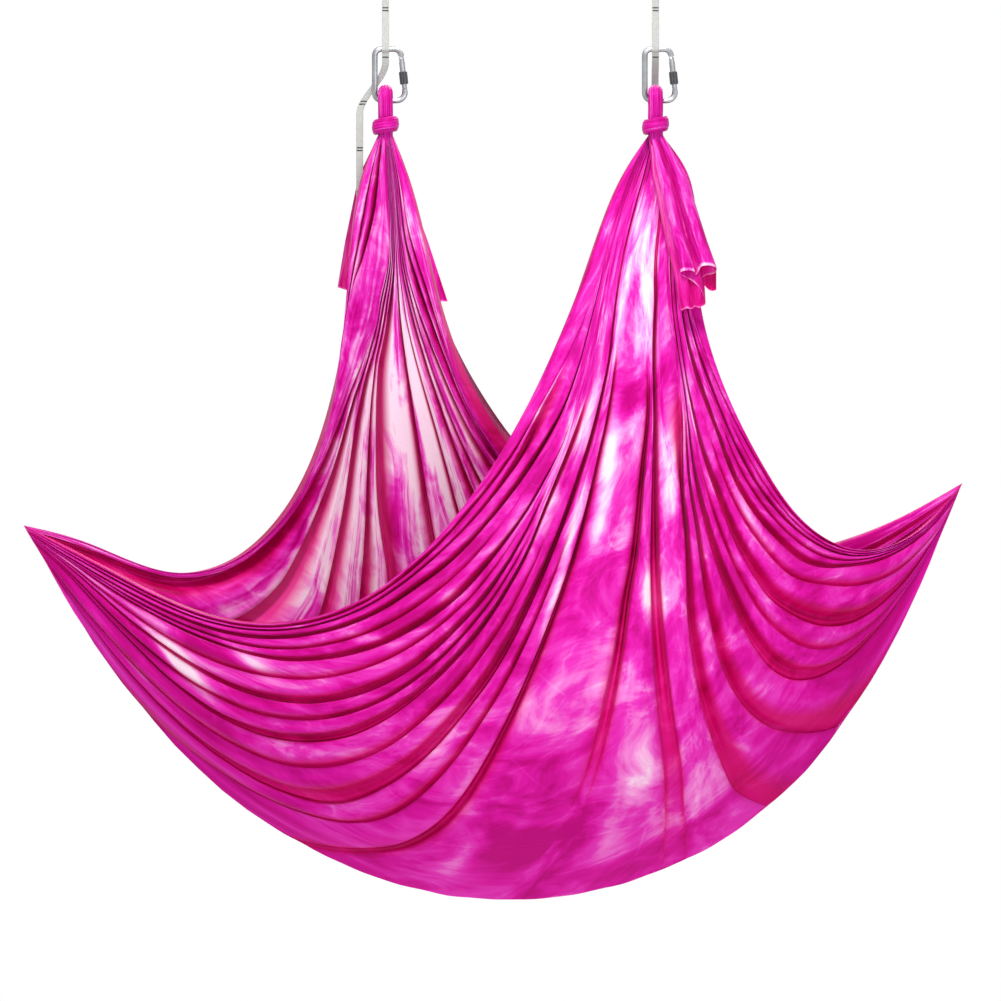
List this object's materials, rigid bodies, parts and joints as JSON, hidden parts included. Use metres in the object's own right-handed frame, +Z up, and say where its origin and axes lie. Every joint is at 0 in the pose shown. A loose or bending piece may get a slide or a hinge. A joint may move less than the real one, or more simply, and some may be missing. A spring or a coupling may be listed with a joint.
{
  "type": "aerial hammock",
  "caption": "Wide tie-dyed cloth hung as a cradle from two gathered tops, each choked over a screw-gate carabiner on a daisy-chain strap.",
  "frame": {"origin": "midway between the two ceiling eyes, at the height where the upper carabiners bear on them", "axes": "+Z up, +X to the right along the line of the two hanging points, -Y towards the front panel and the viewer"},
  "size_m": [1.8786, 0.3998, 2.0108],
  "materials": {
    "satin_steel": "satin, bare",
    "black_anodised": "black anodised, satin",
    "pale_webbing": "woven polyester webbing, pale grey",
    "magenta_tricot": "nylon tricot, satin sheen, magenta tie-dye with white clouds"
  },
  "bodies": {
    "anchors": {"upper_left_body": "satin_steel", "upper_left_hinge_pin": "satin_steel", "upper_right_body": "satin_steel", "upper_right_hinge_pin": "satin_steel"},
    "straps": {"daisy_chain_left": "pale_webbing", "daisy_chain_right": "pale_webbing"},
    "hammock": {"lower_left_body": "satin_steel", "lower_left_hinge_pin": "satin_steel", "lower_right_body": "satin_steel", "lower_right_hinge_pin": "satin_steel", "cloth_neck_left": "magenta_tricot", "cloth_neck_right": "magenta_tricot", "cloth_choke_left": "magenta_tricot", "cloth_choke_right": "magenta_tricot", "cloth_back_gather": "magenta_tricot", "cloth_back_panel": "magenta_tricot", "cloth_front_gather": "magenta_tricot", "cloth_front_panel": "magenta_tricot", "cloth_tail_left": "magenta_tricot", "cloth_tail_right": "magenta_tricot"},
    "upper_left_gate": {"upper_left_gate": "satin_steel", "upper_left_latch_pin": "satin_steel", "upper_left_gate_spring": "satin_steel", "upper_left_push_rod": "satin_steel"},
    "upper_left_sleeve": {"upper_left_sleeve": "black_anodised"},
    "upper_right_gate": {"upper_right_gate": "satin_steel", "upper_right_latch_pin": "satin_steel", "upper_right_gate_spring": "satin_steel", "upper_right_push_rod": "satin_steel"},
    "upper_right_sleeve": {"upper_right_sleeve": "black_anodised"},
    "lower_left_gate": {"lower_left_gate": "satin_steel", "lower_left_latch_pin": "satin_steel", "lower_left_gate_spring": "satin_steel", "lower_left_push_rod": "satin_steel"},
    "lower_left_sleeve": {"lower_left_sleeve": "black_anodised"},
    "lower_right_gate": {"lower_right_gate": "satin_steel", "lower_right_latch_pin": "satin_steel", "lower_right_gate_spring": "satin_steel", "lower_right_push_rod": "satin_steel"},
    "lower_right_sleeve": {"lower_right_sleeve": "black_anodised"}
  },
  "joints": [
    {"name": "strap_swing", "type": "hinge", "parent": "anchors", "child": "straps", "pos_m": [0, 0, -0.097], "axis": [1, 0, 0], "range_deg": [-45, 45]},
    {"name": "hammock_tilt", "type": "hinge", "parent": "straps", "child": "hammock", "pos_m": [0, 0, -0.2965], "axis": [1, 0, 0], "range_deg": [-20, 0]},
    {"name": "upper_left_gate_hinge", "type": "hinge", "parent": "anchors", "child": "upper_left_gate", "pos_m": [-0.23781, 0, -0.01448], "axis": [0, 1, 0], "range_deg": [0, 25], "stiffness_Nm_per_rad": 0.05, "springref_deg": -28.65},
    {"name": "upper_left_sleeve_slide", "type": "slide", "parent": "upper_left_gate", "child": "upper_left_sleeve", "axis": [-0.1062, 0, 0.9943], "range_m": [-0.0107, 0]},
    {"name": "upper_right_gate_hinge", "type": "hinge", "parent": "anchors", "child": "upper_right_gate", "pos_m": [0.30219, 0, -0.01448], "axis": [0, 1, 0], "range_deg": [0, 25], "stiffness_Nm_per_rad": 0.05, "springref_deg": -28.65},
    {"name": "upper_right_sleeve_slide", "type": "slide", "parent": "upper_right_gate", "child": "upper_right_sleeve", "axis": [-0.1062, 0, 0.9943], "range_m": [-0.0107, 0]},
    {"name": "lower_left_gate_hinge", "type": "hinge", "parent": "hammock", "child": "lower_left_gate", "pos_m": [-0.23781, 0, -0.31698], "axis": [0, 1, 0], "range_deg": [0, 17], "stiffness_Nm_per_rad": 0.05, "springref_deg": -28.65},
    {"name": "lower_left_sleeve_slide", "type": "slide", "parent": "lower_left_gate", "child": "lower_left_sleeve", "axis": [-0.1062, 0, 0.9943], "range_m": [-0.0107, 0]},
    {"name": "lower_right_gate_hinge", "type": "hinge", "parent": "hammock", "child": "lower_right_gate", "pos_m": [0.30219, 0, -0.31698], "axis": [0, 1, 0], "range_deg": [0, 17], "stiffness_Nm_per_rad": 0.05, "springref_deg": -28.65},
    {"name": "lower_right_sleeve_slide", "type": "slide", "parent": "lower_right_gate", "child": "lower_right_sleeve", "axis": [-0.1062, 0, 0.9943], "range_m": [-0.0107, 0]}
  ]
}
